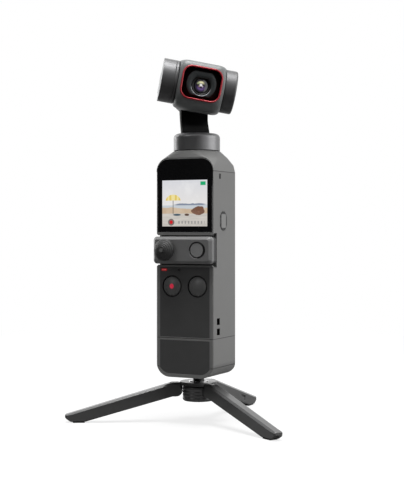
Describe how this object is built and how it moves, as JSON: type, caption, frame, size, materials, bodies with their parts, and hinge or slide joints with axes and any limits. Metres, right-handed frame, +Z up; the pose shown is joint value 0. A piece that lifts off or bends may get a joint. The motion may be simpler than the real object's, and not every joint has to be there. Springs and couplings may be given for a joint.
{
  "type": "pocket gimbal camera",
  "caption": "Hand-held camera with a stabilised head, a screen and a slide-on control stick, standing on a folding mini tripod.",
  "frame": {"origin": "the point on the ground below the pan axis of the head, which is the handle's middle", "axes": "+Z up along the handle, -Y out of the screen, +X to the viewer's right when facing the screen"},
  "size_m": [0.0914, 0.0792, 0.1436],
  "materials": {
    "housing": "fine satin",
    "glass_black": "gloss",
    "display": "gloss, lit",
    "fascia": "fine grain",
    "light": "clear",
    "circuit": "satin",
    "cell": "satin",
    "steel": "brushed",
    "gold": "plated",
    "winding": "wound",
    "magnet": "sintered",
    "button": "satin",
    "side_button": "satin",
    "stick": "satin",
    "stick_rubber": "matte",
    "collar": "turned, satin",
    "arm_black": "gloss",
    "head_dark": "satin",
    "head_light": "satin",
    "head_grey": "satin",
    "ring_red": "satin",
    "lens_black": "matte",
    "hood": "satin",
    "lens": "coated",
    "tripod": "satin",
    "wheel": "knurled",
    "screw": "black oxide",
    "pad": "matte"
  },
  "bodies": {
    "handle": {"main_housing": "housing", "top_shoulder": "housing", "screen_glass": "glass_black", "display_panel": "display", "fascia_panel": "fascia", "status_light": "light", "main_board": "circuit", "battery": "cell", "switches": "gold", "usb_socket": "steel", "slot_contacts": "gold", "pan_seat": "steel", "pan_stator": "winding", "pan_bearings": "steel", "base_housing": "housing", "base_cap": "housing", "base_panel": "fascia", "base_connector": "steel", "thread_insert": "steel"},
    "record_button": {"record_button": "button"},
    "function_button": {"function_button": "button"},
    "power_button": {"power_button": "side_button"},
    "stick": {"stick_housing": "stick", "stick_rail": "stick"},
    "stick_button": {"stick_button": "stick"},
    "stick_yoke": {"stick_yoke": "steel"},
    "joystick": {"joystick": "stick_rubber"},
    "pan": {"pan_collar": "collar", "pan_magnets": "magnet", "pan_arm": "arm_black", "arm_cover": "arm_black", "roll_housing": "head_dark", "roll_cap": "head_dark", "roll_stator": "winding", "roll_bearings": "steel"},
    "roll": {"roll_arm": "head_dark", "roll_rotor": "steel", "tilt_cap": "head_light", "tilt_stator": "winding", "tilt_bearing": "steel"},
    "tilt": {"tilt_rotor": "steel", "camera_front": "head_grey", "camera_rear": "head_grey", "side_cap": "head_dark", "lens_ring": "ring_red", "lens_bezel": "lens_black", "hood_plate": "hood", "lens_glass": "lens", "lens_barrel": "lens_black", "image_sensor": "circuit"},
    "hub": {"tripod_hub": "tripod", "leg_pins": "steel"},
    "clamp_screw": {"thumbwheel": "wheel", "clamp_stud": "screw"},
    "leg_rear": {"leg_rear": "tripod", "foot_rear": "pad"},
    "leg_left": {"leg_left": "tripod", "foot_left": "pad"},
    "leg_right": {"leg_right": "tripod", "foot_right": "pad"}
  },
  "joints": [
    {"name": "record_press", "type": "slide", "parent": "handle", "child": "record_button", "axis": [0, 1, 0], "range_m": [0, 0.00035], "stiffness_N_per_m": 2500},
    {"name": "function_press", "type": "slide", "parent": "handle", "child": "function_button", "axis": [0, 1, 0], "range_m": [0, 0.00035], "stiffness_N_per_m": 2500},
    {"name": "power_press", "type": "slide", "parent": "handle", "child": "power_button", "axis": [-1, 0, 0], "range_m": [0, 0.00035], "stiffness_N_per_m": 2500},
    {"name": "stick_slide", "type": "slide", "parent": "handle", "child": "stick", "axis": [1, 0, 0], "range_m": [0, 0.024]},
    {"name": "stick_press", "type": "slide", "parent": "stick", "child": "stick_button", "axis": [0, 1, 0], "range_m": [0, 0.00035], "stiffness_N_per_m": 2500},
    {"name": "joystick_pan", "type": "hinge", "parent": "stick", "child": "stick_yoke", "pos_m": [-0.00635, -0.0112, 0.0684], "axis": [0, 0, 1], "range_deg": [-12, 12], "stiffness_Nm_per_rad": 0.006},
    {"name": "joystick_tilt", "type": "hinge", "parent": "stick_yoke", "child": "joystick", "pos_m": [-0.00635, -0.0112, 0.0684], "axis": [1, 0, 0], "range_deg": [-12, 12], "stiffness_Nm_per_rad": 0.006},
    {"name": "pan_turn", "type": "hinge", "parent": "handle", "child": "pan", "pos_m": [0, 0, 0.1143], "axis": [0, 0, 1], "range_deg": [-102, 238]},
    {"name": "roll_turn", "type": "hinge", "parent": "pan", "child": "roll", "pos_m": [0.00265, -0.00424, 0.1326], "axis": [-0.5299, 0.848, 0], "range_deg": [-55, 35]},
    {"name": "tilt_turn", "type": "hinge", "parent": "roll", "child": "tilt", "pos_m": [0.00265, -0.00424, 0.1326], "axis": [0.8352, 0.5219, -0.1736], "range_deg": [-98, 180]},
    {"name": "tripod_swivel", "type": "hinge", "parent": "handle", "child": "hub", "pos_m": [0, 0.0015, 0.016], "axis": [0, 0, 1], "continuous": true},
    {"name": "thumbwheel_turn", "type": "hinge", "parent": "handle", "child": "clamp_screw", "pos_m": [0, 0.0015, 0.0113], "axis": [0, 0, 1], "continuous": true},
    {"name": "fold_rear", "type": "hinge", "parent": "hub", "child": "leg_rear", "pos_m": [0, 0.0104, 0.0126], "axis": [-1, 0, 0], "range_deg": [0, 72]},
    {"name": "fold_left", "type": "hinge", "parent": "hub", "child": "leg_left", "pos_m": [-0.00771, -0.00295, 0.0126], "axis": [0.5, -0.866, 0], "range_deg": [0, 72]},
    {"name": "fold_right", "type": "hinge", "parent": "hub", "child": "leg_right", "pos_m": [0.00771, -0.00295, 0.0126], "axis": [0.5, 0.866, 0], "range_deg": [0, 72]}
  ]
}
